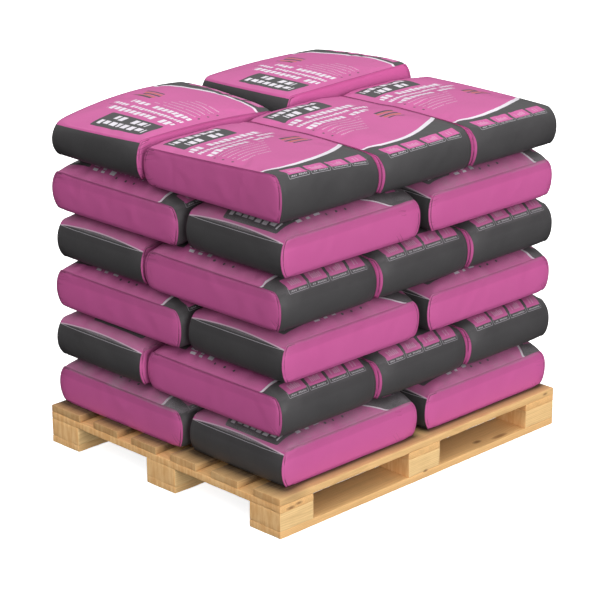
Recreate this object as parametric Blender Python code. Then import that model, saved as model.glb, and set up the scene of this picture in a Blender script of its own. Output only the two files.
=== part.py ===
"""A pallet of thirty filled sacks, as Blender objects in metres, +Z up.

The origin is the centre of the pallet's footprint, on the floor. +X runs along the
pallet's long side and +Y across it. The corner at -X and -Y is the near one.
"""

import math

import bmesh
import bpy

# Pallet
PALLET_LENGTH = 1.200
PALLET_WIDTH = 1.000
BOARD_THICKNESS = 0.022
BLOCK_HEIGHT = 0.056
CORNER_BLOCK_LENGTH = 0.132
MIDDLE_BLOCK_LENGTH = 0.136
BLOCK_WIDTH = 0.124
DECK_BOARD_WIDTH = 0.110
LAST_DECK_BOARD_WIDTH = 0.133
DECK_BOARDS = 6
SAWN_EDGE = 0.0012

# Filled sack, lying on its back
SACK_LENGTH = 0.576
SACK_WIDTH = 0.389
LAYER_PITCH = 0.157
FOLD_HEIGHT = 0.118
CROWN_RUN = 0.115

# Stack, with the places of its rows measured from the pallet's centre
LAYERS = 6
SIDE_BY_SIDE_PITCH = 0.393
END_TO_END_PITCH = 0.597
TRIO_X = 0.029
PAIR_X = 0.0325
ODD_PAIR_Y = -0.2675
ODD_TRIO_Y = 0.222
EVEN_TRIO_Y = -0.185
EVEN_PAIR_Y = 0.301

# How far each layer's rows lie off their places, as (pair x, pair y, trio x, trio y)
LAYER_SHIFTS = (
    (0.000, 0.000, 0.000, 0.004),
    (-0.018, 0.006, 0.002, 0.001),
    (0.002, 0.000, -0.001, 0.002),
    (-0.008, 0.001, -0.002, -0.001),
    (-0.001, 0.000, 0.000, 0.007),
    (-0.012, 0.004, 0.003, 0.000),
)

# Clearance between pieces that rest on each other
GAP = 0.0003

# Colour and roughness of each kind of piece
SACK_FILM = ((0.60, 0.13, 0.36), 0.45)
DECK_PINE = ((0.68, 0.50, 0.30), 0.75)
BLOCK_PINE = ((0.72, 0.53, 0.30), 0.80)
STRINGER_PINE = ((0.70, 0.51, 0.29), 0.78)
BOTTOM_PINE = ((0.66, 0.47, 0.27), 0.80)


def clear_scene():
    for obj in list(bpy.data.objects):
        bpy.data.objects.remove(obj, do_unlink=True)


def make_material(name, finish):
    colour, roughness = finish
    material = bpy.data.materials.new(name)
    material.use_nodes = True
    shader = material.node_tree.nodes["Principled BSDF"]
    shader.inputs["Base Color"].default_value = (*colour, 1.0)
    shader.inputs["Roughness"].default_value = roughness
    shader.inputs["Metallic"].default_value = 0.0
    return material


def add_object(name, mesh, location, turn, parent):
    obj = bpy.data.objects.new(name, mesh)
    bpy.context.collection.objects.link(obj)
    obj.location = location
    obj.rotation_euler = (0.0, 0.0, turn)
    obj.parent = parent
    return obj


def add_empty(name):
    empty = bpy.data.objects.new(name, None)
    bpy.context.collection.objects.link(empty)
    return empty


def board_mesh(name, size, material):
    """A sawn piece of timber, centred in X and Y, with its underside at z = 0."""
    length, width, height = size
    bm = bmesh.new()
    bmesh.ops.create_cube(bm, size=1.0)
    bmesh.ops.scale(bm, vec=(length, width, height), verts=bm.verts)
    bmesh.ops.translate(bm, vec=(0.0, 0.0, height / 2), verts=bm.verts)
    bmesh.ops.bevel(bm, geom=bm.edges[:], offset=SAWN_EDGE, segments=1, affect="EDGES")
    mesh = bpy.data.meshes.new(name)
    bm.to_mesh(mesh)
    bm.free()
    mesh.materials.append(material)
    return mesh


def end_stations():
    """The sack's end, as (distance in from the tip, side inset, lowest, highest).

    The end is a rounded D seen from the side: a big radius at the top, a small one
    at the bottom, and the tip a little under half-way up.
    """
    height = LAYER_PITCH - GAP
    return (
        (0.000, 0.013, 0.32 * height, 0.50 * height),
        (0.006, 0.005, 0.14 * height, 0.67 * height),
        (0.020, 0.001, 0.03 * height, 0.80 * height),
        (0.042, 0.000, 0.00 * height, 0.90 * height),
        (0.080, 0.000, 0.00 * height, 0.97 * height),
        (0.130, 0.000, 0.00 * height, 1.00 * height),
    )


def half_section(inset, low, high):
    """One side of a cross-section, from the underside up to the crown, as (y, z).

    The long side is a nearly flat panel up to a fold line. From there the top rises
    in a soft shoulder to the flat crown.
    """
    half = SACK_WIDTH / 2 - inset
    fold = min(FOLD_HEIGHT, low + 0.86 * (high - low))
    rise = high - fold
    return (
        (half - 0.010, low),
        (half - 0.001, low + 0.010),
        (half, low + 0.52 * (fold - low)),
        (half - 0.002, fold),
        (half - 0.014, fold + 0.42 * rise),
        (half - 0.050, fold + 0.78 * rise),
        (half - CROWN_RUN, high),
    )


def section_ring(x, inset, low, high):
    """A closed cross-section at one place along the sack."""
    side = half_section(inset, low, high)
    right = [(x, y, z) for y, z in side]
    left = [(x, -y, z) for y, z in reversed(side)]
    return [(x, 0.0, low)] + right + [(x, 0.0, high)] + left


def sack_mesh(name, material):
    """A filled sack, centred in X and Y, resting on z = 0, its length along X."""
    ends = end_stations()
    rings = [section_ring(-SACK_LENGTH / 2 + run, *rest) for run, *rest in ends]
    rings += [section_ring(SACK_LENGTH / 2 - run, *rest) for run, *rest in reversed(ends)]
    bm = bmesh.new()
    loops = [[bm.verts.new(point) for point in ring] for ring in rings]
    for back, front in zip(loops, loops[1:]):
        for i in range(len(back)):
            j = (i + 1) % len(back)
            bm.faces.new((back[i], back[j], front[j], front[i]))
    bm.faces.new(loops[0])
    bm.faces.new(loops[-1])
    bmesh.ops.recalc_face_normals(bm, faces=bm.faces[:])
    mesh = bpy.data.meshes.new(name)
    bm.to_mesh(mesh)
    bm.free()
    mesh.shade_smooth()
    mesh.set_sharp_from_angle(angle=math.radians(40))
    mesh.materials.append(material)
    return mesh


def block_row_centres(span, end_size):
    """Centres of three blocks along one side: both ends flush, and the middle."""
    reach = span / 2 - end_size / 2
    return (-reach, 0.0, reach)


def add_pallet():
    pallet = add_empty("pallet")
    columns = block_row_centres(PALLET_LENGTH, CORNER_BLOCK_LENGTH)
    rows = block_row_centres(PALLET_WIDTH, BLOCK_WIDTH)
    lengths = (CORNER_BLOCK_LENGTH, MIDDLE_BLOCK_LENGTH, CORNER_BLOCK_LENGTH)
    thin = BOARD_THICKNESS - GAP
    block_base = BOARD_THICKNESS
    stringer_base = block_base + BLOCK_HEIGHT
    deck_base = stringer_base + BOARD_THICKNESS

    bottom_pine = make_material("bottom_pine", BOTTOM_PINE)
    bottom = board_mesh("bottom_board", (PALLET_LENGTH, BLOCK_WIDTH, thin), bottom_pine)
    for n, y in enumerate(rows, 1):
        add_object(f"bottom_board_{n}", bottom, (0.0, y, 0.0), 0.0, pallet)

    block_pine = make_material("block_pine", BLOCK_PINE)
    for column, (x, length) in enumerate(zip(columns, lengths)):
        size = (length, BLOCK_WIDTH, BLOCK_HEIGHT - GAP)
        block = board_mesh(f"block_column_{column + 1}", size, block_pine)
        for row, y in enumerate(rows):
            number = 3 * column + row + 1
            add_object(f"block_{number}", block, (x, y, block_base), 0.0, pallet)

    stringer_pine = make_material("stringer_pine", STRINGER_PINE)
    for n, (x, length) in enumerate(zip(columns, lengths), 1):
        stringer = board_mesh("stringer", (length, PALLET_WIDTH, thin), stringer_pine)
        add_object(f"stringer_{n}", stringer, (x, 0.0, stringer_base), 0.0, pallet)

    add_deck(deck_base, thin, pallet)


def add_deck(base, thickness, pallet):
    """Six boards with equal gaps, of which the one at +Y is wider."""
    deck_pine = make_material("deck_pine", DECK_PINE)
    widths = [DECK_BOARD_WIDTH] * (DECK_BOARDS - 1) + [LAST_DECK_BOARD_WIDTH]
    spacing = (PALLET_WIDTH - sum(widths)) / (DECK_BOARDS - 1)
    near_edge = -PALLET_WIDTH / 2
    for n, width in enumerate(widths, 1):
        board = board_mesh("deck_board", (PALLET_LENGTH, width, thickness), deck_pine)
        middle = near_edge + width / 2
        add_object(f"deck_board_{n}", board, (0.0, middle, base), 0.0, pallet)
        near_edge += width + spacing


def layer_places(layer):
    """(x, y, turn) of a layer's five sacks: two end to end, three side by side."""
    odd = layer % 2 == 0
    pair_dx, pair_dy, trio_dx, trio_dy = LAYER_SHIFTS[layer]
    pair_y = (ODD_PAIR_Y if odd else EVEN_PAIR_Y) + pair_dy
    trio_y = (ODD_TRIO_Y if odd else EVEN_TRIO_Y) + trio_dy
    pair_x = PAIR_X + pair_dx
    trio_x = TRIO_X + trio_dx
    half_pitch = END_TO_END_PITCH / 2
    pair = [(pair_x + side * half_pitch, pair_y, 0.0) for side in (-1, 1)]
    steps = [side * SIDE_BY_SIDE_PITCH for side in (-1, 0, 1)]
    trio = [(trio_x + step, trio_y, -math.pi / 2) for step in steps]
    return pair + trio


def add_sacks():
    stack = add_empty("stack")
    stack.location.z = 3 * BOARD_THICKNESS + BLOCK_HEIGHT
    film = make_material("sack_film", SACK_FILM)
    sack = sack_mesh("sack", film)
    for layer in range(LAYERS):
        for n, (x, y, turn) in enumerate(layer_places(layer), 1):
            name = f"sack_layer{layer + 1}_{n}"
            add_object(name, sack, (x, y, layer * LAYER_PITCH), turn, stack)


def main():
    clear_scene()
    add_pallet()
    add_sacks()


main()
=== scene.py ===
"""The looks of a pallet of thirty filled sacks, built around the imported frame.

A sack lies with its head end at -X and its foot end at +X in its own coordinates.
Its top, ends and underside are one printed strip, and each long side is a plain panel.
"""

import math
from functools import partialmethod, reduce

import bpy
import numpy as np
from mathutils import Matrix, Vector
from mathutils.bvhtree import BVHTree


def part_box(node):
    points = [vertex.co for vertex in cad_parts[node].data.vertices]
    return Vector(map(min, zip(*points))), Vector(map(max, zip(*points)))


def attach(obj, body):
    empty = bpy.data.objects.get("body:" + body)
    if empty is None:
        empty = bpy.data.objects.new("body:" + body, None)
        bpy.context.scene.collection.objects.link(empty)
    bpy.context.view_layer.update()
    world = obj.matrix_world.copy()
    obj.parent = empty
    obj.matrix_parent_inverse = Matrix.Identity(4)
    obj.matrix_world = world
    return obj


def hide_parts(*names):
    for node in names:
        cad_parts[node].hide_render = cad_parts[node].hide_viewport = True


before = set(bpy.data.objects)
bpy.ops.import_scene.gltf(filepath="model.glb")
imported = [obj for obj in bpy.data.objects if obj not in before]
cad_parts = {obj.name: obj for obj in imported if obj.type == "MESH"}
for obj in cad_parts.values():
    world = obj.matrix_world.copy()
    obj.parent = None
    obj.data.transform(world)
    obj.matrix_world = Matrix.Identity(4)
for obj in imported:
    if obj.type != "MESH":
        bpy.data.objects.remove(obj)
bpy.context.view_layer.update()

# Sack, in metres, with the place of its folds as a share of its height, and its lattice
LENGTH = 0.576
HALF_WIDTH = 0.1925
HEIGHT = 0.1564
FOLD = 0.7525
CELLS = (68, 46, 24)
EDGE_DENSITY = 0.5

# Simulated skins: their lattice, number and time to settle, and how they start
SIM_CELLS = (58, 38, 17)
SIM_DENSITY = 0.15
VARIANTS = 3
SIM_FRAMES = 20
SKIN_SHRINK = 0.992
SKIN_LIFT = 0.004 * HEIGHT
SKIN_WAVES = 0.0012
MOVE_LIMIT = 0.004
SKIN_CLOTH = {
    "quality": 5,
    "mass": 0.25,
    "tension_stiffness": 20,
    "compression_stiffness": 20,
    "shear_stiffness": 6,
    "bending_stiffness": 0.8,
    "use_pressure": True,
    "uniform_pressure_force": 4,
}

# How far the top's shoulders run in from the long sides, and how sharply they rise
LOADED_SHOULDER = (0.118, 2.7)
TOP_SHOULDER = (0.150, 2.0)

# A side panel's ends: how far in from the tips they lie, the share of the height at which
# they reach out furthest, and how far they step in below and above it
HEAD_INSET = 0.002
FOOT_INSET = 0.013
WIDEST = 0.38
LOW_STEP = 0.021
HIGH_STEP = 0.024

# The top layer's sacks, which are flat: the height of their near and far folds at the
# head, the middle and the foot, and how much the crown rises above them, in mm
TOP_SACKS = (
    ((119, 124, 110), (106, 139, 133), 9),
    ((140, 148, 154), (134, 144, 138), 6),
    ((114, 125, 137), (118, 121, 113), 4),
    ((118, 121, 113), (125, 126, 117), 7),
    ((125, 126, 117), (119, 119, 112), 7),
)

# How far the free edges of each layer's sacks sag, from the lowest layer up, the sacks that
# stay stiff, and the size of the columns in which the gap below a sack is measured
SAG = (0.0, 0.0025, 0.0020, 0.0045, 0.0085, 0.0085)
STIFF = ((6, 1), (6, 2))
COLUMN = 0.006
DEEPEST_GAP = 0.045

# Half the room that a sack has between its neighbours, and its height under a load and free
ROOM_LENGTH = 0.2915
ROOM_WIDTH = 0.1962
LOADED_CEILING = 0.1566
FREE_CEILING = 0.1720

# Painted contact shade on the sacks: how far it reaches down from the layer above and up from the
# one below
SHADE_BELOW_LOAD = 0.034
SHADE_AT_BASE = 0.010

# How far in metres the foot's near corner of a sack with a neighbour there is drawn in
FOOT_CORNER = 0.015

# How far towards the head the artwork of a few sacks sits, by (layer, number)
PRINT_SHIFTS = {(1, 1): 0.072, (5, 1): 0.074, (1, 2): 0.030, (5, 2): 0.016}

# How strongly the stripe of a few sacks leans near the near long side
STRIPE_LEAN = {(1, 1): 1.9, (3, 1): 1.9, (5, 1): 1.9, (3, 2): 0.8, (5, 2): 0.8}

# Half profiles of the strip, as (inset from the tip in mm, share of the height). The
# first and last points of an end are the corners where the side panels turn.
CENTRE_HEAD = (
    ((45, 0.0),),
    ((20, 0.012), (8, 0.09), (2, 0.21), (0, 0.38), (2, 0.56), (6, 0.68), (12, 0.755)),
    ((26, 0.84), (50, 0.915), (88, 0.970), (134, 0.997)),
)
CENTRE_FOOT = (
    ((45, 0.0),),
    ((24, 0.012), (9, 0.09), (2, 0.22), (0, 0.40), (3, 0.58), (11, 0.73), (24, 0.835)),
    ((46, 0.915), (85, 0.970), (134, 0.997)),
)
EDGE_HEAD = (
    ((60, 0.0),),
    ((26, 0.0), (14, 0.09), (5, 0.22), (2, 0.36), (4, 0.50), (11, 0.63), (24, 0.735)),
    ((42, 0.752), (100, FOLD)),
)
EDGE_FOOT = (
    ((60, 0.0),),
    ((32, 0.0), (22, 0.09), (15, 0.23), (13, 0.38), (16, 0.53), (25, 0.65), (40, 0.735)),
    ((58, 0.752), (110, FOLD)),
)

# Creases of a side panel, as (start a, start z, end a, end z, depth, width) in mm
PANEL_CREASES = (
    (-272, 101, -236, 109, 1.6, 3.2),
    (-277, 90, -222, 95, 1.4, 3.6),
    (-279, 74, -244, 78, 0.9, 3.4),
    (-276, 26, -246, 18, 1.5, 3.2),
    (-268, 14, -240, 7, 1.4, 3.0),
    (262, 10, 240, 24, 2.2, 2.8),
    (268, 20, 250, 30, 1.4, 2.6),
    (272, 100, 240, 108, 1.5, 3.0),
    (277, 84, 250, 90, 1.0, 3.0),
    (262, 96, 250, 40, 1.2, 5.0),
    (-266, 90, -258, 30, 1.0, 5.0),
)


def spread(cells, density):
    """Shares from 0 to 1, closer together towards both ends."""
    even = np.linspace(0.0, 1.0, cells + 1)
    return even - density * np.sin(2 * math.pi * even) / (2 * math.pi)


def lattice(cells):
    """The surface of a block of cells: each vertex's steps along it, and six sides."""
    size = np.array(cells)
    axes = [np.arange(n + 1) for n in cells]
    steps = np.stack(np.meshgrid(*axes, indexing="ij"), -1).reshape(-1, 3)
    steps = steps[np.any((steps == 0) | (steps == size), axis=1)]
    number = np.full(size + 1, -1)
    number[tuple(steps.T)] = np.arange(len(steps))
    sides = []
    for axis in range(3):
        for end in (0, cells[axis]):
            grid = np.take(number, end, axis=axis)
            near, far = grid[:-1], grid[1:]
            quads = np.stack((near[:, :-1], far[:, :-1], far[:, 1:], near[:, 1:]), -1)
            quads = quads.reshape(-1, 4)
            outward = (end > 0) == (axis != 1)
            sides.append(quads if outward else quads[:, ::-1])
    return steps, sides


def lengths_along(points):
    """How far along their curve the points lie."""
    return np.concatenate(([0.0], np.cumsum(np.linalg.norm(np.diff(points, axis=0), axis=1))))


def closed_curve(points, first, last, shares):
    """Points of a smooth closed curve at shares of its arc between two control points."""
    count = len(points)
    legs = np.roll(points, -1, axis=0) - points
    spans = np.linalg.norm(legs, axis=1)
    before = np.roll(spans, 1)[:, None]
    after = spans[:, None]
    ahead, behind = legs / after, np.roll(legs, 1, axis=0) / before
    slopes = (ahead * before + behind * after) / (before + after)
    dense = []
    for n in range(first, last):
        here, there = n % count, (n + 1) % count
        t = np.linspace(0.0, 1.0, 33)[:-1, None]
        span = spans[here]
        dense.append(
            points[here] * (2 * t**3 - 3 * t**2 + 1)
            + slopes[here] * span * (t**3 - 2 * t**2 + t)
            + points[there] * (3 * t**2 - 2 * t**3)
            + slopes[there] * span * (t**3 - t**2)
        )
    dense.append(points[last % count][None])
    dense = np.concatenate(dense)
    arc = lengths_along(dense)
    wanted = shares * arc[-1]
    found = [np.interp(wanted, arc, dense[:, c]) for c in range(2)]
    return np.stack(found, -1), wanted


def profile(head, foot, middle, cells, density):
    """The strip's (x, z) on each step (i, k) of its loop, and its arc from the top's middle."""
    halves = []
    for bottom, end, top in (head, foot):
        half = [*reversed(bottom), *end, *top]
        halves.append([(inset / 1000 - LENGTH / 2, share * HEIGHT) for inset, share in half])
    mirrored_foot = [(-x, z) for x, z in reversed(halves[1])]
    points = np.array([(0.0, 0.0), *halves[0], (0.0, HEIGHT * middle), *mirrored_foot])
    head_bottom = 1 + len(head[0])
    head_top = head_bottom + len(head[1]) - 1
    foot_top = head_top + len(head[2]) + 2 + len(foot[2])
    foot_bottom = foot_top + len(foot[1]) - 1
    along, up = spread(cells[0], density), spread(cells[2], density)
    place = np.zeros((cells[0] + 1, cells[2] + 1, 2))
    arc = np.zeros((cells[0] + 1, cells[2] + 1))
    place[0], head_arc = closed_curve(points, head_bottom, head_top, up)
    place[:, -1], top_arc = closed_curve(points, head_top, foot_top, along)
    flipped, foot_arc = closed_curve(points, foot_top, foot_bottom, 1 - up[::-1])
    place[-1] = flipped[::-1]
    end = head_bottom + len(points)
    under, under_arc = closed_curve(points, foot_bottom, end, 1 - along[::-1])
    place[:, 0] = under[::-1]
    reach = top_arc[-1] / 2
    arc[:, -1] = top_arc - reach
    arc[0] = -(reach + head_arc[-1] - head_arc)
    arc[-1] = reach + foot_arc[::-1]
    side = np.minimum(under_arc, under_arc[-1] - under_arc)[::-1]
    arc[:, 0] = np.where(place[:, 0, 0] < 0, -1, 1) * (reach + head_arc[-1] + side)
    return place, arc


def fill_inside(place, cells, density):
    """Fills the steps inside a loop of points, so that they run evenly from side to side."""
    u = spread(cells[0], density)[:, None, None]
    v = spread(cells[2], density)[None, :, None]
    low, high = place[:, :1], place[:, -1:]
    head, foot = place[:1], place[-1:]
    across = low * (1 - v) + high * v
    along = head * (1 - u) + foot * u
    corners = (
        place[0, 0] * (1 - u) * (1 - v)
        + place[-1, 0] * u * (1 - v)
        + place[0, -1] * (1 - u) * v
        + place[-1, -1] * u * v
    )
    return across + along - corners


def panel_reach(place):
    """How far out a side panel lies at each (x, z): it turns in at its ends and its foot."""
    x, z = place[..., 0], place[..., 1]
    to_end = LENGTH / 2 - np.where(x < 0, HEAD_INSET, FOOT_INSET) - np.abs(x)
    low_end = np.clip((WIDEST * HEIGHT - z) / (WIDEST * HEIGHT), 0, 1)
    to_end = to_end - LOW_STEP * low_end**2
    high_end = np.clip((z - WIDEST * HEIGHT) / (0.355 * HEIGHT), 0, 1)
    to_end = np.clip(to_end - HIGH_STEP * high_end**2, 0, None)
    turned_in = 0.0052 * np.exp(-to_end / 0.011)
    foot_fold = 0.0065 * np.exp(-z / 0.005)
    belly = 0.0022 * np.sin(math.pi * np.clip(z / (FOLD * HEIGHT), 0, 1))
    return HALF_WIDTH - turned_in - foot_fold + belly


def sack_shape(cells, density, shoulder):
    """The sack at rest: its points, sides, steps, and places along and across the print."""
    steps, sides = lattice(cells)
    i, j, k = steps.T
    centre, arc = profile(CENTRE_HEAD, CENTRE_FOOT, 1.0, cells, density)
    edge, _ = profile(EDGE_HEAD, EDGE_FOOT, FOLD, cells, density)
    edge = fill_inside(edge, cells, density)
    reach = panel_reach(edge)
    across = 2 * spread(cells[1], density) - 1
    run, power = shoulder
    inward = HALF_WIDTH * (1 - np.abs(across)) / run
    rise = 1 - (1 - np.clip(inward, 0, 1)) ** power
    share = rise[j][:, None]
    place = edge[i, k] * (1 - share) + centre[i, k] * share
    points = np.stack((place[:, 0], across[j] * reach[i, k], place[:, 1]), -1)
    middle = cells[0] // 2
    width_arc = lengths_along(points[(i == middle) & (k == cells[2]), 1:])
    width_arc -= width_arc[-1] / 2
    return points, sides, steps, arc[i, k], width_arc[j]


def through(values, share):
    """A smooth curve through values near the head, in the middle and near the foot."""
    return np.poly1d(np.polyfit((0.08, 0.50, 0.92), values, 2))(np.clip(share, 0.03, 0.97))


def top_shape(near, far, rise):
    """A sack with nothing on it: flat on top, with its folds at heights of its own."""
    points = sack_shape(CELLS, EDGE_DENSITY, TOP_SHOULDER)[0]
    along = points[:, 0] / LENGTH + 0.5
    across = np.clip(points[:, 1] / HALF_WIDTH, -1, 1) / 2 + 0.5
    height = (through(near, along) * (1 - across) + through(far, along) * across) / 1000
    fold = FOLD * HEIGHT
    above = np.clip(points[:, 2] - fold, 0, None)
    crown = above * rise / 1000 / (HEIGHT - fold)
    points[:, 2] = np.minimum(points[:, 2], fold) * height / fold + crown
    return points


def face_coordinates(points, sides, arc, width_arc):
    """Print coordinates of each face corner: metres along the strip and across it."""
    found = []
    for n, quads in enumerate(sides):
        along, across = arc[quads], width_arc[quads]
        if n in (2, 3):
            side = -1 if n == 2 else 1
            along, across = points[quads, 0], side * (PANEL_BASE + points[quads, 2])
        elif n == 4:
            along = np.sign(points[quads, 0].mean(axis=1))[:, None] * np.abs(along)
        found.append(np.stack((along, across), -1))
    return np.concatenate(found)


def gathered(values, faces, count):
    """The sum, at each vertex, of the values of the faces round it."""
    total = np.zeros((count, *values.shape[1:]))
    for n in range(4):
        np.add.at(total, faces[:, n], values)
    return total


def vertex_normals(points, faces):
    a, b, c, d = (points[faces[:, n]] for n in range(4))
    total = gathered(np.cross(c - a, d - b), faces, len(points))
    return total / np.maximum(np.linalg.norm(total, axis=1, keepdims=True), 1e-12)


def waves(points, rng, count, low, high):
    """Smooth noise from about -1 to 1, with wavelengths from low to high metres."""
    total = np.zeros(len(points))
    for _ in range(count):
        direction = rng.normal(size=3)
        direction /= np.linalg.norm(direction)
        wavelength = low * (high / low) ** rng.random()
        total += np.sin(points @ direction * 2 * math.pi / wavelength + rng.random() * 6.28)
    return total / math.sqrt(count)


def flat(values, kind=np.float32):
    return np.ascontiguousarray(values, kind).ravel()


def make_mesh(name, points, faces, coordinates=None):
    mesh = bpy.data.meshes.new(name)
    mesh.vertices.add(len(points))
    mesh.vertices.foreach_set("co", flat(points))
    mesh.loops.add(faces.size)
    mesh.loops.foreach_set("vertex_index", flat(faces, np.int32))
    mesh.polygons.add(len(faces))
    mesh.polygons.foreach_set("loop_start", np.arange(0, faces.size, 4, dtype=np.int32))
    mesh.polygons.foreach_set("use_smooth", np.ones(len(faces), bool))
    if coordinates is not None:
        layer = mesh.uv_layers.new(name="print")
        layer.data.foreach_set("uv", flat(coordinates))
    mesh.update(calc_edges=True)
    return mesh


def smoothed(values, faces, rounds):
    """Values of the vertices, each averaged with those of its faces a number of times."""
    count = gathered(np.ones((len(faces), 1)), faces, len(values))
    for _ in range(rounds):
        values = gathered(values[faces].mean(axis=1), faces, len(values)) / count
    return values


def add_object(name, data):
    added = bpy.data.objects.new(name, data)
    bpy.context.collection.objects.link(added)
    return added


def simulated_moves():
    """How a slightly slack skin settles under pressure, for a few variants of the sack."""
    rest, sides, steps, _, _ = sack_shape(SIM_CELLS, SIM_DENSITY, LOADED_SHOULDER)
    faces = np.concatenate(sides)
    normals = vertex_normals(rest, faces)
    rng = np.random.default_rng(5)
    skins = []
    for n in range(VARIANTS):
        shrunk = rest * SKIN_SHRINK
        shrunk[:, 2] += SKIN_LIFT
        shrunk += SKIN_WAVES * waves(rest, rng, 14, 0.03, 0.20)[:, None] * normals
        skin = add_object(f"skin_{n}", make_mesh(f"skin_{n}", shrunk, faces))
        skin.location.x = 2.0 + n
        cloth = skin.modifiers.new("cloth", "CLOTH")
        for key, value in SKIN_CLOTH.items():
            setattr(cloth.settings, key, value)
        cloth.settings.effector_weights.gravity = 0
        cloth.point_cache.frame_end = SIM_FRAMES
        skins.append(skin)
    for step in range(1, SIM_FRAMES + 1):
        bpy.context.scene.frame_set(step)
    graph = bpy.context.evaluated_depsgraph_get()
    moves = []
    for skin in skins:
        settled = np.empty(len(rest) * 3, np.float32)
        skin.evaluated_get(graph).data.vertices.foreach_get("co", settled)
        move = settled.reshape(-1, 3) - rest
        moves.append(move - 0.9 * smoothed(move, faces, 14))
        bpy.data.objects.remove(skin, do_unlink=True)
    bpy.context.scene.frame_set(1)
    return moves, steps


def transferred(move, sim_steps, steps):
    """A move known on the skins' lattice, read on the finer lattice of the sacks."""
    volume = np.zeros((*[n + 1 for n in SIM_CELLS], 4))
    volume[tuple(sim_steps.T)] = np.column_stack((move, np.ones(len(move))))
    places = []
    for axis in range(3):
        share = spread(CELLS[axis], EDGE_DENSITY)[steps[:, axis]]
        source = spread(SIM_CELLS[axis], SIM_DENSITY)
        places.append(np.interp(share, source, np.arange(SIM_CELLS[axis] + 1)))
    total = np.zeros((len(steps), 4))
    lows = [np.minimum(p.astype(int), n - 1) for p, n in zip(places, SIM_CELLS)]
    for corner in np.ndindex(2, 2, 2):
        index = tuple(low + c for low, c in zip(lows, corner))
        part = np.ones(len(steps))
        for place, low, c in zip(places, lows, corner):
            part = part * (place - low if c else 1 - place + low)
        total += volume[index] * part[:, None]
    return total[:, :3] / np.maximum(total[:, 3:], 1e-9)


def capped(move, limit):
    size = np.linalg.norm(move, axis=1, keepdims=True)
    return move * limit * np.tanh(size / limit) / np.maximum(size, 1e-9)


def line_fade(points, start, end, width):
    """1 on a line in a panel's plane, falling away to its sides and its ends."""
    start, end = np.array(start), np.array(end)
    run = end - start
    share = np.clip(((points - start) @ run) / (run @ run), 0, 1)
    away = np.linalg.norm(points - start - share[:, None] * run, axis=1)
    return np.exp(-((away / width) ** 2)) * np.sin(math.pi * (0.12 + 0.80 * share)) ** 0.7


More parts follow.
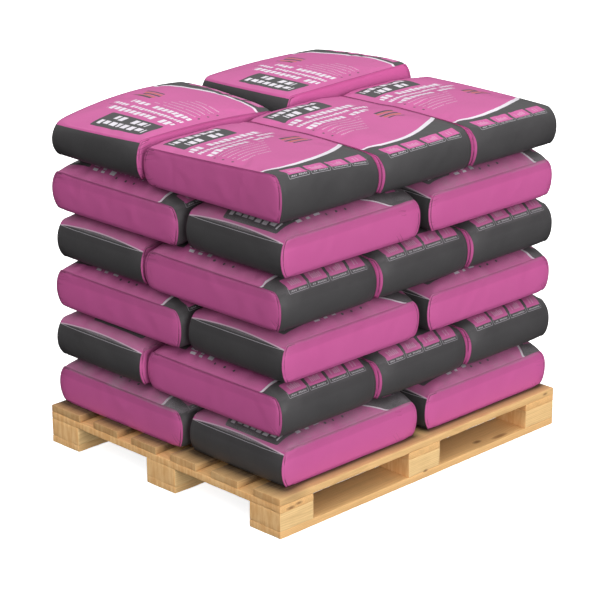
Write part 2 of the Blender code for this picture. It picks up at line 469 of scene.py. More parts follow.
class SackMaker:
    """Makes each sack from the same lattice, with its own slackness, creases and dents."""

    def __init__(self):
        self.tops = [top_shape(*settings) for settings in TOP_SACKS]
        shape = sack_shape(CELLS, EDGE_DENSITY, LOADED_SHOULDER)
        self.rest, self.sides, self.steps, self.arc, self.width_arc = shape
        self.faces = np.concatenate(self.sides)
        self.number = np.zeros([n + 1 for n in CELLS], int)
        self.number[tuple(self.steps.T)] = np.arange(len(self.steps))
        self.coordinates = face_coordinates(self.rest, self.sides, self.arc, self.width_arc)
        self.normals = vertex_normals(self.rest, self.faces)
        self.moves = []
        moves, sim_steps = simulated_moves()
        self.moves = [transferred(move, sim_steps, self.steps) for move in moves]
        self.fold_distance = self.measure_folds()
        # The sides and ends are drawn tight by the filling, and the top is slacker
        i, j, _ = self.steps.T
        tight = (i == 0) | (i == CELLS[0]) | (j == 0) | (j == CELLS[1])
        self.slack = np.where(tight, 0.30, 1.0)

    def measure_folds(self):
        """Distance of each vertex from the nearest fold round a side panel."""
        i, j, k = self.steps.T

        def away(*step):
            return np.linalg.norm(self.rest - self.rest[self.number[step]], axis=1)

        to_panels = np.minimum(away(i, 0, k), away(i, CELLS[1], k))
        to_ends = np.minimum(away(0, j, k), away(CELLS[0], j, k))
        to_rims = np.minimum(away(i, j, 0), away(i, j, CELLS[2]))
        on_panel = (j == 0) | (j == CELLS[1])
        return np.where(on_panel, np.minimum(to_ends, to_rims), to_panels)

    def points(self, number, top=None):
        """A sack's points. One of the top layer, which carries nothing, is given by number."""
        rng = np.random.default_rng(100 + number)
        move = np.zeros_like(self.rest)
        if self.moves:
            move = capped(self.moves[number % VARIANTS], MOVE_LIMIT) * rng.uniform(0.75, 1.0)
            move = move * self.slack[:, None]
            if (number // VARIANTS) % 2:
                move = self.mirrored(move)
        held = 1 - 0.45 * np.exp(-self.fold_distance / 0.006)
        points = (self.rest if top is None else self.tops[top]) + move * held[:, None]
        depth = 0.0006 * waves(self.rest, rng, 10, 0.09, 0.35) * self.slack
        depth += self.lips(rng)
        depth += self.panel_creases(rng)
        depth += self.dents(rng)
        return points + self.normals * depth[:, None]

    def narrowed(self, points, amount):
        """The same points with the foot's near corner drawn in."""
        to_foot = np.clip(LENGTH / 2 - 0.012 - self.rest[:, 0], 0, None)
        near_side = np.clip(-self.rest[:, 1] / HALF_WIDTH, 0, 1) ** 3
        moved = points.copy()
        moved[:, 1] += amount * np.exp(-to_foot / 0.020) * near_side
        return moved

    def mirrored(self, move):
        """The same move with its left and right sides swapped."""
        i, j, k = self.steps.T
        return move[self.number[i, CELLS[1] - j, k]] * (1, -1, 1)

    def lips(self, rng):
        """A raised fold round each side panel, with a shallow groove beside it."""
        away = self.fold_distance
        lip = 0.0010 * np.exp(-((away / 0.0022) ** 2))
        groove = -0.0009 * np.exp(-(((away - 0.0062) / 0.0030) ** 2))
        return (lip + groove) * rng.uniform(0.8, 1.2)

    def panel_creases(self, rng):
        j = self.steps[:, 1]
        depth = np.zeros(len(self.rest))
        for side in (0, CELLS[1]):
            panel = j == side
            places = self.rest[panel][:, (0, 2)] * 1000
            total = np.zeros(len(places))
            for a0, z0, a1, z1, deep, width in PANEL_CREASES:
                shift = rng.normal(0, 3.5, 2)
                strength = deep * rng.uniform(0.25, 1.25)
                start = (a0 + shift[0], z0 + shift[1])
                end = (a1 + shift[0] * 1.6, z1 + shift[1] * 1.4)
                total -= strength * line_fade(places, start, end, width)
            depth[panel] = total / 1000
        return depth * np.clip(self.fold_distance / 0.003, 0, 1)

    def dust_and_sheen(self, layer, number):
        """How much dust and painted sheen a sack's top gets: most at the open shoulders of those
        that carry others.
        """
        if layer == 6:
            return np.zeros(len(self.rest))
        amount = np.random.default_rng(900 + 5 * layer + number).uniform(0.35, 0.9)
        if number > 2:
            amount *= 1.7 if layer == 1 else 0.3
        b = np.abs(self.width_arc)
        facing_up = self.rest[:, 2] > 0.70 * HEIGHT
        inset = LENGTH / 2 - np.abs(self.rest[:, 0])
        shoulder = np.clip((b - 0.07) / 0.05, 0, 1) + np.clip((0.10 - inset) / 0.05, 0, 1)
        return amount * np.clip(shoulder, 0, 1) * facing_up

    def dents(self, rng):
        """A few shallow hollows and swells, where the filling has shifted."""
        depth = np.zeros(len(self.rest))
        for _ in range(7):
            spot = self.rest[rng.integers(len(self.rest))]
            size = rng.uniform(0.030, 0.075)
            away = np.linalg.norm(self.rest - spot, axis=1)
            depth += rng.uniform(-0.0016, 0.0008) * np.exp(-((away / size) ** 2))
        return depth * self.slack


def place_of(node):
    """Where a sack's CAD node is: its middle, its base and whether it lies along X."""
    low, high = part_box(node)
    middle = (low + high) / 2
    return middle.x, middle.y, low.z, high.x - low.x > high.y - low.y


def to_frame(points, place):
    """Turns a sack's own coordinates into the row frame."""
    x, y, base, along_x = place
    turned = points if along_x else points[:, (1, 0, 2)] * (1, -1, 1)
    return turned + np.array((x, y, base))


def kept_in_room(points, layer):
    """Keeps a sack off its neighbours beside, below and above it."""
    ceiling = LOADED_CEILING if layer < 6 else FREE_CEILING
    low, high = (-ROOM_LENGTH, -ROOM_WIDTH, 0.0), (ROOM_LENGTH, ROOM_WIDTH, ceiling)
    return np.clip(points, low, high)


def sag(points, own_z, tree, amount):
    """Lowers a sack where nothing close holds it up, and most of all at its free edges."""
    down = Vector((0, 0, -1))
    above = 0.004
    columns = {}
    found = []
    for n, (x, y, z) in enumerate(points):
        key = (round(x / COLUMN), round(y / COLUMN))
        if key not in columns:
            start = Vector((x, y, z - own_z[n] + above))
            distance = tree.ray_cast(start, down, 0.060)[3]
            gap = DEEPEST_GAP if distance is None else max(0.0, distance - above)
            columns[key] = amount * (1 - math.exp(-min(gap, DEEPEST_GAP) / 0.013))
        found.append(columns[key])
    return np.array(found)


def add_piece(name, mesh, material, node):
    mesh.materials.append(material)
    piece = add_object(name, mesh)
    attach(piece, "root")
    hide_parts(node)
    return piece


def contact_shade(points, tree, reach):
    """How dark the painted shade on points is, from what lies close to them: 1 where they touch
    it.
    """
    found = np.zeros(len(points))
    for n, point in enumerate(points):
        distance = tree.find_nearest(Vector(point), 4 * reach)[3]
        if distance is not None:
            found[n] = math.exp(-distance / reach)
    return found


def sack_points(maker):
    """The points of every sack in the row frame, layer by layer, and a tree of each layer."""
    layers, trees = [], []
    for layer in range(1, 7):
        sacks = []
        for n in range(1, 6):
            own = maker.points(5 * layer + n, n - 1 if layer == 6 else None)
            if n > 3:
                own = maker.narrowed(own, FOOT_CORNER)
            own = kept_in_room(own, layer)
            points = to_frame(own, place_of(f"sack_layer{layer}_{n}"))
            if trees and (layer, n) not in STIFF:
                drop = sag(points, own[:, 2], trees[-1], SAG[layer - 1])
                points[:, 2] -= smoothed(drop[:, None], maker.faces, 4)[:, 0]
            sacks.append(points)
        joined = np.concatenate(sacks)
        faces = np.concatenate([maker.faces + n * len(maker.rest) for n in range(5)])
        layers.append(sacks)
        trees.append(BVHTree.FromPolygons(joined.tolist(), faces.tolist()))
    return layers, trees


def add_values(mesh, name, values, kind="FLOAT", domain="POINT"):
    layer = mesh.attributes.new(name, kind, domain)
    field = "vector" if kind == "FLOAT_VECTOR" else "value"
    layer.data.foreach_set(field, flat(values))


def add_sacks(film, maker, layers, trees):
    shift_rng = np.random.default_rng(77)
    upper = maker.rest[:, 2] > 0.55 * HEIGHT
    for layer, sacks in enumerate(layers, 1):
        for n, points in enumerate(sacks, 1):
            node = f"sack_layer{layer}_{n}"
            mesh = make_mesh(f"filled_{node}", points, maker.faces, maker.coordinates)
            same = np.ones(len(points))
            # Painted shade where the layer above rests on the sack's top and where the sack sits
            # on the layer below
            painted_shade = np.zeros(len(points))
            if layer < 6:
                painted_shade[upper] = contact_shade(points[upper], trees[layer], SHADE_BELOW_LOAD)
            if layer > 1:
                painted_shade[~upper] = 0.5 * contact_shade(points[~upper], trees[layer - 2], SHADE_AT_BASE)
            add_values(mesh, "contact_shade", painted_shade)
            add_values(mesh, "fold", maker.fold_distance)
            moved = PRINT_SHIFTS.get((layer, n), 0.0) + shift_rng.normal(0, 0.003)
            add_values(mesh, "shift", same * moved)
            add_values(mesh, "lean", same * STRIPE_LEAN.get((layer, n), 0.0))
            add_values(mesh, "arch", same * (layer < 6))
            # Dust with a painted sheen on the open shoulders
            add_values(mesh, "dust_and_sheen", maker.dust_and_sheen(layer, n))
            piece = add_piece(f"filled_{node}", mesh, film, node)


class Nodes:
    """Short ways to add and join shader nodes."""

    def __init__(self, owner, shader="Principled BSDF"):
        owner.use_nodes = True
        self.owner = owner
        self.tree = owner.node_tree
        self.shader = self.tree.nodes[shader]

    def add(self, kind, inputs=None, **settings):
        node = self.tree.nodes.new(kind)
        for key, value in settings.items():
            setattr(node, key, value)
        for key, value in (inputs or {}).items():
            self.join(value, node.inputs[key])
        return node

    def join(self, value, socket):
        if isinstance(value, bpy.types.NodeSocket):
            self.tree.links.new(value, socket)
        else:
            socket.default_value = (*value, 1.0) if socket.type == "RGBA" else value

    def dress(self, inputs):
        """Gives the shader its values and links."""
        for key, value in inputs.items():
            self.join(value, self.shader.inputs[key])

    def kept(self, name):
        """A value that the mesh keeps under a name."""
        return self.add("ShaderNodeAttribute", attribute_name=name).outputs["Fac"]

    def place(self, kind="Object"):
        return self.add("ShaderNodeTexCoord").outputs[kind]

    def split(self, vector):
        return self.add("ShaderNodeSeparateXYZ", {0: vector}).outputs

    def math(self, operation, *values):
        inputs = dict(enumerate(values))
        return self.add("ShaderNodeMath", inputs, operation=operation).outputs[0]

    plus = partialmethod(math, "ADD")
    minus = partialmethod(math, "SUBTRACT")
    times = partialmethod(math, "MULTIPLY")
    larger = partialmethod(math, "MAXIMUM")
    smaller = partialmethod(math, "MINIMUM")
    size = partialmethod(math, "ABSOLUTE")
    above = partialmethod(math, "GREATER_THAN")
    below = partialmethod(math, "LESS_THAN")
    near = partialmethod(math, "COMPARE")

    def square(self, value):
        return self.math("POWER", value, 2.0)

    def vector(self, operation, *inputs):
        """A vector worked out from others, or the number that the operation gives."""
        inputs = dict(enumerate(inputs))
        node = self.add("ShaderNodeVectorMath", inputs, operation=operation)
        return node.outputs["Value" if operation in ("LENGTH", "DOT_PRODUCT") else "Vector"]

    def mix(self, share, first, second):
        inputs = {0: share, 6: first, 7: second}
        return self.add("ShaderNodeMix", inputs, data_type="RGBA").outputs[2]

    def noise(self, vector, scale, detail=2.0, roughness=0.5, distortion=0.0):
        inputs = {"Vector": vector, "Scale": scale, "Detail": detail}
        inputs.update({"Roughness": roughness, "Distortion": distortion})
        return self.add("ShaderNodeTexNoise", inputs).outputs[0]

    def ramp(self, value, low, high, start=0.0, end=1.0):
        inputs = {0: value, 1: low, 2: high, 3: start, 4: end}
        return self.add("ShaderNodeMapRange", inputs).outputs[0]

    def bump(self, height, strength):
        inputs = {"Height": height, "Strength": strength, "Distance": 1.0}
        self.dress({"Normal": self.add("ShaderNodeBump", inputs).outputs[0]})

    def within(self, value, low, high):
        return self.near(value, (low + high) / 2, (high - low) / 2)

    def all_of(self, *masks):
        return reduce(self.times, masks)

    def any_of(self, *masks):
        return reduce(self.larger, masks)

    def box(self, a, b, *spans):
        """1 inside a plain rectangle, given by its spans in a and b."""
        pairs = zip((a, b), spans)
        return self.all_of(*[self.within(value, *span) for value, span in pairs])

    def round_box(self, a, b, half_a, half_b, radius):
        """1 inside a rectangle with round corners, round the zero of a and b."""
        away = []
        for value, half in ((a, half_a), (b, half_b)):
            beyond = self.minus(self.size(value), half - radius)
            away.append(self.square(self.larger(beyond, 0.0)))
        return self.below(self.plus(*away), radius**2)

    def blocks(self, a, b, row, half, span, pitch, seed):
        """1 on a row of small upright blocks of uneven heights, in groups."""
        place = self.math("DIVIDE", b, pitch)
        cell = self.math("FLOOR", place)
        share = self.math("FRACT", place)
        key = self.add("ShaderNodeCombineXYZ", {0: cell, 1: seed}).outputs[0]
        white = self.add("ShaderNodeTexWhiteNoise", {"Vector": key}, noise_dimensions="2D")
        chance = white.outputs["Value"]
        height = self.ramp(chance, 0.0, 1.0, half * 0.62, half)
        line = self.minus(row + half, height)
        return self.all_of(
            self.near(self.minus(a, line), 0.0, height),
            self.within(b, *span),
            self.near(share, 0.42, 0.36),
            self.above(chance, 0.10),
        )

    def rows(self, a, b, rows):
        return self.any_of(*[self.blocks(a, b, *row) for row in rows])


PINK = (0.560, 0.108, 0.315)
CHARCOAL = (0.060, 0.058, 0.060)
WHITE = (0.74, 0.70, 0.76)
AMBER = (0.50, 0.15, 0.07)
# Colour of the painted shade in the folds, grooves and creases
FOLD_SHADE = (0.075, 0.022, 0.045)
# Colour of the dust and painted sheen on the shoulders
DUST_AND_SHEEN = (0.34, 0.30, 0.33)
# Colour of the painted contact shade
FILM_SHADE = (0.016, 0.009, 0.012)
HAZE = (0.50, 0.46, 0.48)

# The print, in metres: a runs along the strip from the middle of the top towards the foot,
# and b across it. The side panels lie past PANEL_START in b, with no print, and there b
# is PANEL_BASE and the height.
PANEL_START = 0.25
PANEL_BASE = 0.30
UNDERSIDE = 0.455
HEAD_EDGE = -0.2800
HEAD_LINE = -0.2785
HEAD_CORNER = -0.2935
FOOT_EDGE = 0.2185
STRIPE = 0.2130
TILE_PITCH = 0.082

# Rows of blocks, as (place in a, half height, span in b, pitch, seed)
PANEL_ROWS = (
    (-0.022, 0.0155, (-0.146, 0.044), 0.0270, 1.0),
    (0.021, 0.0150, (-0.119, 0.016), 0.0270, 2.0),
)
HEADING_ROWS = (
    (-0.120, 0.0145, (-0.165, 0.110), 0.0215, 3.0),
    (-0.082, 0.0085, (-0.165, 0.130), 0.0140, 4.0),
    (-0.046, 0.0140, (-0.165, 0.090), 0.0205, 5.0),
)
SMALL_ROWS = [
    (-0.012 + 0.020 * row, 0.0027, (-0.150, 0.030 - 0.014 * row), 0.0075, 6.0 + row)
    for row in range(6)
]
DOTS = (-0.012, 0.028, 0.068)

# Plain bars, as spans in a and b: a rule under the heading, and the badge in two inks
DARK_BARS = (
    ((-0.1015, -0.1000), (-0.165, 0.140)),
    ((0.004, 0.015), (0.070, 0.148)),
    ((0.034, 0.043), (0.062, 0.140)),
    ((0.061, 0.068), (0.070, 0.148)),
)
AMBER_BARS = (
    ((0.018, 0.026), (0.066, 0.144)),
    ((0.047, 0.055), (0.066, 0.144)),
)

# Short creases of a side panel, as (start a, start z, end a, end z, width) in mm
FINE_CREASES = (
    (-278, 98, -244, 106, 2.6),
    (-282, 88, -236, 97, 2.4),
    (-285, 74, -246, 80, 1.8),
    (-285, 34, -252, 29, 1.8),
    (-276, 14, -242, 24, 2.6),
    (262, 1, 240, 30, 3.2),
    (270, 10, 252, 34, 2.4),
    (274, 96, 246, 101, 2.0),
    (276, 84, 256, 88, 1.6),
)


def panel_lines(n, a, b, place):
    """1 in the middle of the short creases that run in from a side panel's ends."""
    up = n.minus(n.size(b), PANEL_BASE)
    shift_a = n.ramp(n.noise(place, 3.1, 0.0), 0.0, 1.0, -0.005, 0.005)
    shift_z = n.ramp(n.noise(place, 2.3, 0.0), 0.0, 1.0, -0.020, 0.020)
    curl = n.ramp(n.noise(place, 30.0, 1.0), 0.0, 1.0, -0.004, 0.004)
    moved_z = n.plus(n.plus(up, shift_z), curl)
    spot = n.add("ShaderNodeCombineXYZ", {0: n.plus(a, shift_a), 1: moved_z}).outputs[0]
    found = []
    for a0, z0, a1, z1, width in FINE_CREASES:
        start = Vector((a0, z0, 0)) / 1000
        run = Vector((a1 - a0, z1 - z0, 0)) / 1000
        away = n.vector("SUBTRACT", spot, start)
        share = n.vector("DOT_PRODUCT", away, run / run.length_squared)
        share = n.smaller(n.larger(share, 0.0), 1.0)
        along = n.add("ShaderNodeVectorMath", {0: run, "Scale": share}, operation="SCALE")
        far = n.vector("LENGTH", n.vector("SUBTRACT", away, along.outputs[0]))
        half = n.ramp(share, 0.0, 1.0, width / 950, width / 3000)
        found.append(n.larger(n.minus(1.0, n.math("DIVIDE", far, half)), 0.0))
    fades = n.ramp(n.noise(place, 5.0, 1.0), 0.40, 0.58, 0.15, 1.0)
    return n.times(n.any_of(*found), fades)


class Artwork:
    """The film's generic print. Each mask is 1 where its shape is."""

    def __init__(self, n):
        self.n = n
        uv = n.add("ShaderNodeUVMap", uv_map="print").outputs[0]
        self.a, self.b, _ = n.split(uv)
        self.shift = n.kept("shift")
        on_top = n.below(n.size(self.a), 0.36)
        self.moved = n.plus(self.a, n.times(self.shift, on_top))
        self.find_head()

    def find_head(self):
        """The dark head end, the line along its arched edge with a painted highlight on the fold
        at the head's corner, and its part on the top.
        """
        n, arch = self.n, self.n.kept("arch")
        bow = n.times(n.square(n.size(self.b)), n.times(arch, 0.36))
        edge = n.plus(n.plus(self.a, bow), n.ramp(arch, 0.0, 1.0, 0.004, 0.0))
        self.head = n.below(edge, HEAD_EDGE)
        # A pale line along the arched edge, and a painted highlight on the fold at the head's
        # corner
        line = n.any_of(n.near(edge, HEAD_LINE, 0.0019), n.near(self.a, HEAD_CORNER, 0.0007))
        self.edge_line_and_fold_highlight = n.times(line, arch)
        self.crescent = n.all_of(self.head, n.above(self.a, HEAD_CORNER))

    def foot(self):
        """The dark foot end, and the white stripe that curves along its edge."""
        n, b = self.n, self.b
        bulge = n.times(n.square(n.size(b)), 0.80)
        slant = n.plus(n.plus(self.moved, n.times(b, 0.19)), bulge)
        from_edge = n.smaller(n.plus(b, 0.19), 0.055)
        slant = n.plus(slant, n.times(n.kept("lean"), from_edge))
        half = n.ramp(b, -0.19, 0.16, 0.0042, 0.0085)
        return n.above(slant, FOOT_EDGE), n.near(slant, STRIPE, half)

    def panel(self):
        """The dark panel near the head, and the blocks in it."""
        n = self.n
        a = n.plus(n.plus(self.a, 0.197), n.times(self.shift, 0.38))
        panel = n.round_box(a, n.plus(self.b, 0.050), 0.048, 0.108, 0.006)
        return panel, n.rows(a, self.b, PANEL_ROWS)

    def bars(self, spans):
        return self.n.any_of(*[self.n.box(self.moved, self.b, *span) for span in spans])

    def dots(self):
        n, across = self.n, self.n.plus(self.b, 0.168)
        dots = [n.round_box(n.minus(self.moved, a), across, 0.0042, 0.0042, 0.0041) for a in DOTS]
        return n.any_of(*dots)

    def tiles(self):
        """Plain tiles over the foot's rounding, the bars on them, and the captions below."""
        n, a, b = self.n, self.moved, self.b
        reach = 2 * TILE_PITCH
        within = n.math("FRACT", n.math("DIVIDE", n.plus(b, reach), TILE_PITCH))
        tile_b = n.times(n.minus(within, 0.5), TILE_PITCH)
        in_row = n.near(b, 0.0, reach)
        tile = n.round_box(n.minus(a, 0.267), tile_b, 0.0205, 0.0350, 0.0035)
        tile = n.all_of(tile, in_row)
        bars = n.blocks(a, b, 0.2670, 0.0110, (-reach, reach), 0.0068, 20.0)
        bars = n.all_of(bars, n.near(tile_b, 0.0, 0.021), tile)
        caption = n.blocks(a, b, 0.2935, 0.0026, (-reach, reach), 0.0062, 12.0)
        caption = n.all_of(caption, n.near(tile_b, 0.0, 0.029))
        around = n.minus(a, 0.266)
        outer = n.round_box(around, tile_b, 0.0345, 0.0375, 0.004)
        inner = n.round_box(around, tile_b, 0.0332, 0.0362, 0.003)
        outline = n.all_of(n.minus(outer, inner), in_row, n.above(a, 0.281))
        return tile, bars, n.any_of(caption, outline)

    def colour(self):
        n, on_strip = self.n, self.n.below(self.n.size(self.b), PANEL_START)
        foot, stripe = self.foot()
        under = n.below(n.size(self.a), UNDERSIDE)
        panel, panel_blocks = self.panel()
        tile, tile_bars, captions = self.tiles()
        heading = n.rows(self.moved, self.b, HEADING_ROWS)
        inks = (
            (n.all_of(n.any_of(self.head, foot), under, on_strip), CHARCOAL),
            (n.all_of(stripe, on_strip), WHITE),
            # The edge line, with the painted highlight on the head's corner fold
            (n.times(n.all_of(self.edge_line_and_fold_highlight, on_strip), 0.55), WHITE),
            (n.all_of(tile, on_strip), PINK),
            (n.times(n.all_of(tile_bars, on_strip), 0.26), WHITE),
            (n.times(n.all_of(captions, on_strip), 0.42), WHITE),
            (panel, CHARCOAL),
            (n.any_of(panel_blocks, heading), WHITE),
            (n.times(n.rows(self.moved, self.b, SMALL_ROWS), 0.45), WHITE),
            (n.any_of(self.bars(DARK_BARS), self.dots()), CHARCOAL),
            (self.bars(AMBER_BARS), AMBER),
        )
        colour = PINK
        for share, ink in inks:
            colour = n.mix(share, colour, ink)
        return colour


def film_material():
    n = Nodes(bpy.data.materials.new("printed_film"))
    art = Artwork(n)
    place = n.place()
    cloud = n.noise(place, 9.0, 5.0, 0.6)
    patch = n.noise(place, 23.0, 2.0)
    speckle = n.noise(place, 420.0, 2.0, 0.7)

    # Painted shade as dark lines in the folds and creases, dust with a painted sheen on the open
    # shoulders, and painted contact shade
    fold = n.kept("fold")
    on_panel = n.above(n.size(art.b), PANEL_START)
    near_end = n.above(n.size(art.a), 0.238)
    # Painted shade in the groove beside the fold, near the panel's ends
    groove = n.all_of(n.near(fold, 0.0078, 0.0015), on_panel, near_end)
    groove = n.times(groove, n.ramp(patch, 0.38, 0.52, 0.12, 1.0))
    creases = n.all_of(panel_lines(n, art.moved, art.b, place), on_panel)
    # Painted shade along the fold itself
    shade_in_fold = n.ramp(fold, 0.0004, 0.0018, 0.46, 0.0)
    lines = n.any_of(shade_in_fold, n.times(groove, 0.72), n.times(creases, 0.45))
    # Dust and a painted sheen on the open shoulders, strongest on the dark head's part on the top
    dust_and_sheen = n.times(n.kept("dust_and_sheen"), n.ramp(art.crescent, 0.0, 1.0, 1.0, 1.7))
    dust_and_sheen = n.times(dust_and_sheen, n.ramp(cloud, 0.30, 0.62, 0.25, 1.0))
    dust_and_sheen = n.times(dust_and_sheen, n.ramp(speckle, 0.35, 0.62, 0.15, 0.80))
    # Painted contact shade, darkest where the sacks touch
    painted_shade = n.times(n.kept("contact_shade"), n.ramp(speckle, 0.30, 0.66, 0.72, 1.0))
    colour = n.mix(lines, art.colour(), FOLD_SHADE)
    colour = n.mix(n.times(dust_and_sheen, 0.85), colour, DUST_AND_SHEEN)
    colour = n.mix(n.times(painted_shade, 0.90), colour, FILM_SHADE)
    colour = n.mix(n.ramp(cloud, 0.35, 0.80, 0.0, 0.015), colour, HAZE)
    roughness = n.ramp(cloud, 0.2, 0.8, 0.40, 0.52)
    n.dress({"Base Color": colour, "Roughness": roughness, "Specular IOR Level": 0.22})

    crinkle = n.noise(place, 26.0, 5.0, 0.62, 0.6)
    grain = n.noise(place, 1400.0, 1.0)
    height = n.plus(n.times(crinkle, 0.0016), n.times(grain, 0.00006))
    n.bump(n.minus(height, n.times(n.any_of(creases, groove), 0.0012)), 0.5)
    return n.owner


# Timber, in metres: its worn edges, its uneven faces and its cells
EDGE_WEAR = 0.0017
UNEVENNESS = 0.00022
CELL_ALONG = 0.011
CELL_ACROSS = 0.013

# Each kind of timber, as (how its nodes' names start, slot, axis of its grain)
TIMBER = (
    ("deck_board", "deck_pine", 0),
    ("stringer", "stringer_pine", 1),
    ("bottom_board", "bottom_pine", 0),
    ("block", "block_pine", 0),
)

# How far the painted shade from the sacks reaches: over the deck, over the deck's end at -X,
# which is in shade past SHADE_START, and over the other timber
DECK_SHADE_REACH = 0.020
SHADED_DECK_SHADE_REACH = 0.042
TIMBER_SHADE_REACH = 0.008
SHADE_START = -0.47
SHADE_RUN = 0.07

# Knots that show, as (x, y, z, size)
KNOTS = (
    (0.280, -0.464, 0.022, 0.008),
    (0.284, -0.461, 0.122, 0.006),
    (0.347, -0.443, 0.122, 0.005),
    (-0.526, -0.500, 0.089, 0.006),
    (-0.558, -0.500, 0.084, 0.007),
    (0.005, -0.500, 0.023, 0.005),
    (0.559, -0.500, 0.111, 0.006),
)


def ruled(length, step):
    """Places along one side of a board, with extra ones at its worn edges."""
    inner = length - 2 * EDGE_WEAR
    count = max(2, round(inner / step))
    middle = EDGE_WEAR + inner * np.arange(1, count) / count
    edge = np.array([0.0, 0.4 * EDGE_WEAR, EDGE_WEAR])
    return np.concatenate((edge, middle, length - edge[::-1]))


def board_points(low, high, grain_axis, rng):
    """A board's sides and points, with eased edges and slightly uneven faces."""
    size = high - low
    spacing = [CELL_ALONG if axis == grain_axis else CELL_ACROSS for axis in range(3)]
    lines = [ruled(size[axis], spacing[axis]) for axis in range(3)]
    steps, sides = lattice([len(line) - 1 for line in lines])
    points = np.stack([lines[axis][steps[:, axis]] for axis in range(3)], -1) - size / 2
    wear = EDGE_WEAR * (1 + 0.35 * waves(points, rng, 10, 0.02, 0.15))[:, None]
    wear = np.clip(wear, 0.4 * EDGE_WEAR, 1.9 * EDGE_WEAR)
    core = np.clip(points, wear - size / 2, size / 2 - wear)
    out = points - core
    reach = np.linalg.norm(out, axis=1, keepdims=True)
    points = core + out * np.minimum(1.0, wear / np.maximum(reach, 1e-9))
    points += UNEVENNESS * waves(points, rng, 12, 0.015, 0.20)[:, None] * np.sign(core)
    return sides, points + (low + high) / 2


# Painted shade on a board near the sacks; at the deck's -X end, which is in shade, it reaches
# further
def board_shade(node, points, load):
    if not node.startswith("deck_board"):
        return contact_shade(points, load, TIMBER_SHADE_REACH)
    close, wide = contact_shade(points, load, DECK_SHADE_REACH), contact_shade(points, load, SHADED_DECK_SHADE_REACH)
    shaded = np.clip((SHADE_START - points[:, 0]) / SHADE_RUN, 0, 1)
    return close + (wide - close) * shaded


def add_board(node, material, grain_axis, rng, load):
    low, high = (np.array(corner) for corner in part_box(node))
    sides, points = board_points(low, high, grain_axis, rng)
    name = f"sawn_{node}"
    mesh = make_mesh(name, points, np.concatenate(sides))
    across = [axis for axis in range(3) if axis != grain_axis]
    grain = (points - (low + high) / 2)[:, (grain_axis, *across)]
    turn = rng.uniform(0, 2 * math.pi)
    pith = rng.uniform(0.035, 0.110)
    grain[:, 0] += rng.uniform(0, 40)
    grain[:, 1] += pith * math.cos(turn) + grain[:, 0] % 1.7 * 0.004
    grain[:, 2] += pith * math.sin(turn)
    # The faces towards X take the cut-end colour: end grain on all but the stringers, and painted
    # lighter to stand in for light on the -X side
    end_grain_and_painted_light = np.concatenate([np.full(len(quads), n < 2) for n, quads in enumerate(sides)])
    add_values(mesh, "grain", grain, kind="FLOAT_VECTOR")
    add_values(mesh, "end_grain_and_painted_light", end_grain_and_painted_light, domain="FACE")
    tone = rng.uniform(0.0, 0.3) if node.startswith("block") else rng.uniform(0.55, 1.0)
    add_values(mesh, "tone", np.full(len(points), tone))
    # Painted shade near the sacks
    add_values(mesh, "contact_shade", board_shade(node, points, load))
    add_piece(name, mesh, material, node)


def add_pallet(pine, load):
    rng = np.random.default_rng(31)
    for node in sorted(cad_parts):
        for start, slot, grain_axis in TIMBER:
            if node.startswith(start):
                add_board(node, pine, grain_axis, rng, load)


# Colours of pine: blocks and boards, late wood, marks in the grain, cut ends, painted lighter to
# stand in for light on the faces towards -X, and painted shade near the sacks
BLOCK_PINE = (0.900, 0.625, 0.300)
BOARD_PINE = (0.870, 0.510, 0.215)
LATE_WOOD = (0.510, 0.280, 0.100)
STREAK = (0.530, 0.310, 0.125)
DARK_FIBRE = (0.470, 0.270, 0.110)
PALE_FIBRE = (0.800, 0.640, 0.390)
STAIN = (0.420, 0.240, 0.100)
KNOT_RIM = (0.36, 0.150, 0.050)
KNOT_HEART = (0.13, 0.050, 0.020)
KNOT = (0.20, 0.080, 0.030)
PALE_END_PAINTED_LIGHTER = (1.0, 0.640, 0.300)
DARK_END_PAINTED_LIGHTER = (0.86, 0.460, 0.180)
PAINTED_TIMBER_SHADE = (0.016, 0.008, 0.008)


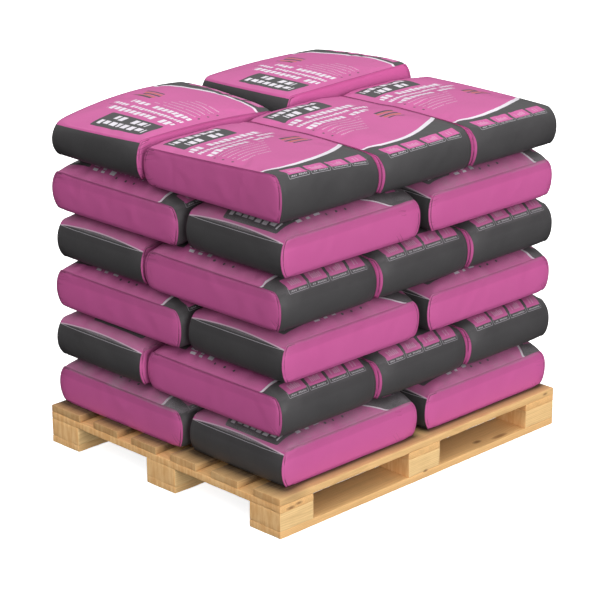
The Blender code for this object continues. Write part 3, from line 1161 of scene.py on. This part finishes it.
def pine_material():
    n = Nodes(bpy.data.materials.new("sawn_pine"))
    grain = n.add("ShaderNodeAttribute", attribute_name="grain").outputs["Vector"]
    _, across, deep = n.split(grain)

    # Knots: a few cells of a stretched pattern, which also push the rings aside
    spots = n.vector("MULTIPLY", grain, (3.2, 11.0, 11.0))
    cells = n.add("ShaderNodeTexVoronoi", {"Vector": spots, "Scale": 1.0})
    away = cells.outputs["Distance"]
    kind = n.add("ShaderNodeSeparateColor", {0: cells.outputs["Color"]}).outputs[0]
    chosen = n.above(kind, 0.80)
    knot = n.all_of(n.ramp(away, 0.10, 0.145, 1.0, 0.0), chosen)
    heart = n.all_of(n.ramp(away, 0.03, 0.10, 1.0, 0.0), chosen)
    pushed = n.all_of(n.ramp(away, 0.10, 0.45, 1.0, 0.0), chosen)

    # Yearly rings round the pith, wavy along the board
    drift = n.noise(n.vector("MULTIPLY", grain, (2.2, 9.0, 9.0)), 1.0, 3.0, 0.55)
    radius = n.math("SQRT", n.plus(n.square(across), n.square(deep)))
    radius = n.plus(radius, n.times(drift, 0.026))
    radius = n.plus(radius, n.times(pushed, 0.010))
    ring = n.math("FRACT", n.times(radius, 175.0))
    late = n.times(n.ramp(ring, 0.35, 0.88), n.ramp(ring, 0.90, 1.0, 1.0, 0.0))

    # Fine fibres and broad stains
    fibre = n.noise(n.vector("MULTIPLY", grain, (9.0, 420.0, 420.0)), 1.0, 4.0, 0.6)
    streak = n.noise(n.vector("MULTIPLY", grain, (2.5, 45.0, 45.0)), 1.0, 3.0, 0.55)
    stain = n.noise(grain, 7.0, 4.0, 0.6)
    colour = n.mix(n.kept("tone"), BLOCK_PINE, BOARD_PINE)
    colour = n.mix(n.times(late, 0.24), colour, LATE_WOOD)
    colour = n.mix(n.ramp(streak, 0.48, 0.78, 0.0, 0.38), colour, STREAK)
    colour = n.mix(n.ramp(fibre, 0.42, 0.80, 0.0, 0.40), colour, DARK_FIBRE)
    colour = n.mix(n.ramp(fibre, 0.15, 0.40, 0.22, 0.0), colour, PALE_FIBRE)
    colour = n.mix(n.ramp(stain, 0.55, 0.80, 0.0, 0.22), colour, STAIN)
    colour = n.mix(n.times(knot, 0.62), colour, KNOT_RIM)
    colour = n.mix(n.times(heart, 0.75), colour, KNOT_HEART)

    # Cut ends with upright streaks, painted lighter to stand in for light on the faces towards X,
    # painted shade near the sacks, and the knots that show
    place = n.place()
    streaks = n.noise(n.vector("MULTIPLY", place, (2.0, 90.0, 14.0)), 1.0, 3.0, 0.6)
    # Cut-end colour, painted lighter to stand in for light on the faces towards X
    cut_end_painted_lighter = n.mix(n.ramp(streaks, 0.36, 0.62), PALE_END_PAINTED_LIGHTER, DARK_END_PAINTED_LIGHTER)
    colour = n.mix(n.times(n.kept("end_grain_and_painted_light"), 0.82), colour, cut_end_painted_lighter)
    # Painted shade near the sacks, darkest where they rest on the timber
    painted_shade = n.times(n.ramp(n.kept("contact_shade"), 0.05, 0.72), n.ramp(fibre, 0.25, 0.70, 0.85, 1.0))
    colour = n.mix(n.times(painted_shade, 0.97), colour, PAINTED_TIMBER_SHADE)
    for x, y, z, size in KNOTS:
        away = n.vector("MULTIPLY", n.vector("SUBTRACT", place, (x, y, z)), (0.50, 1.0, 1.3))
        away = n.plus(n.vector("LENGTH", away), n.ramp(streak, 0.2, 0.8, -0.002, 0.002))
        colour = n.mix(n.ramp(away, size * 0.4, size * 1.3, 0.75, 0.0), colour, KNOT)
    roughness = n.ramp(fibre, 0.2, 0.8, 0.62, 0.82)
    n.dress({"Base Color": colour, "Roughness": roughness, "Specular IOR Level": 0.25})
    height = n.plus(n.times(fibre, -0.0007), n.times(streak, -0.0006))
    n.bump(n.plus(height, n.times(knot, 0.0004)), 0.8)
    return n.owner


# Camera, in metres, millimetres and degrees
CAMERA_PLACE = (-4.637, -4.610, 2.733)
CAMERA_TURN = -45.033
CAMERA_TILT = 19.351
LENS = 136.19

# Suns, as (name, direction they shine from, strength), and their angle in degrees
SUNS = (("key", (-0.16, -0.80, 0.12), 2.80), ("fill", (-0.95, -0.25, 0.12), 0.55))
SUN_ANGLE = 45

# The sky's strength from just below the horizon up to overhead
SKY_HEIGHTS = (-0.05, 1.0)
SKY_STRENGTHS = (0.0, 1.50)

# The floor lies just under the pallet, and glows a little so that its shadow stays faint
FLOOR_HALF = 40.0
FLOOR_Z = -0.0004
FLOOR_GLOW = 0.80
FLOOR_COLOUR = (0.97, 0.97, 0.97)
WHITE_LIGHT = (1.0, 1.0, 1.0)


def add_camera():
    camera = add_object("camera", bpy.data.cameras.new("camera"))
    camera.data.lens = LENS
    camera.location = CAMERA_PLACE
    turn, tilt = math.radians(CAMERA_TURN), math.radians(CAMERA_TILT)
    level = math.cos(tilt)
    back = Vector((math.sin(turn) * level, -math.cos(turn) * level, math.sin(tilt)))
    camera.rotation_mode = "QUATERNION"
    camera.rotation_quaternion = (-back).to_track_quat("-Z", "Y")
    camera.data.clip_end = 200.0
    bpy.context.scene.camera = camera


def add_suns():
    for name, towards, strength in SUNS:
        sun = bpy.data.lights.new(name, "SUN")
        sun.energy = strength
        sun.angle = math.radians(SUN_ANGLE)
        light = add_object(name, sun)
        light.rotation_mode = "QUATERNION"
        light.rotation_quaternion = Vector(towards).to_track_quat("Z", "Y")


def add_sky():
    n = Nodes(bpy.data.worlds.new("studio"), "Background")
    height = n.split(n.place("Generated"))[2]
    n.dress({"Color": WHITE_LIGHT, "Strength": n.ramp(height, *SKY_HEIGHTS, *SKY_STRENGTHS)})
    bpy.context.scene.world = n.owner


def add_floor():
    mesh = bpy.data.meshes.new("floor")
    half = FLOOR_HALF
    corners = [(-half, -half, 0), (half, -half, 0), (half, half, 0), (-half, half, 0)]
    mesh.from_pydata(corners, [], [(0, 1, 2, 3)])
    floor = add_object("floor", mesh)
    floor.location.z = FLOOR_Z
    floor.visible_diffuse = False
    floor.visible_glossy = False
    n = Nodes(bpy.data.materials.new("pale_floor"))
    n.dress({"Base Color": FLOOR_COLOUR, "Roughness": 0.9, "Specular IOR Level": 0.0})
    n.dress({"Emission Color": WHITE_LIGHT, "Emission Strength": FLOOR_GLOW})
    mesh.materials.append(n.owner)


add_camera()
add_sky()
add_suns()
add_floor()
bpy.context.scene.view_settings.view_transform = "Standard"
maker = SackMaker()
layers, trees = sack_points(maker)
add_pallet(pine_material(), trees[0])
add_sacks(film_material(), maker, layers, trees)
